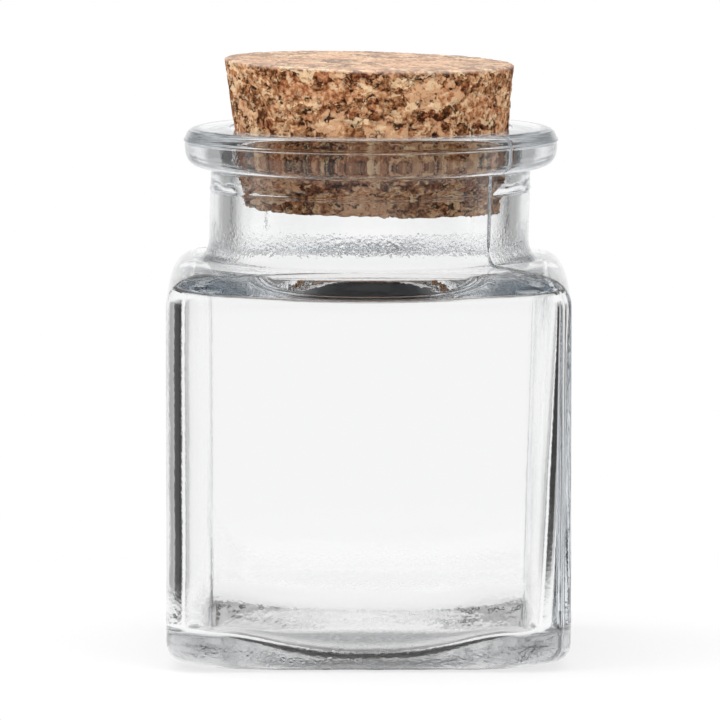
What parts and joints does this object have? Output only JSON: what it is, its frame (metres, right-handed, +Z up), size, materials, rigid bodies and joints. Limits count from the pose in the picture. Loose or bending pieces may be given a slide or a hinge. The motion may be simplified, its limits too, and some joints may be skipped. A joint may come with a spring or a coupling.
{
  "type": "glass jar with cork stopper",
  "caption": "Small square clear glass jar with a round neck and thick rolled lip, closed by a tapered agglomerated cork stopper that lifts out; holds spices, candy or small keepsakes.",
  "frame": {"origin": "middle of the jar's base, on the surface that it stands on", "axes": "+Z up along the neck's axis, -Y out of the front face, +X to the right seen from the front; the flat faces are square to X and Y"},
  "size_m": [0.05, 0.05, 0.0743],
  "materials": {
    "clear_glass": "gloss",
    "cork": "matte"
  },
  "bodies": {
    "jar": {"glass_jar": "clear_glass"},
    "stopper": {"cork_stopper": "cork"}
  },
  "joints": [
    {"name": "cork_lift", "type": "slide", "parent": "jar", "child": "stopper", "axis": [0, 0, 1], "range_m": [0, 0.02]}
  ]
}
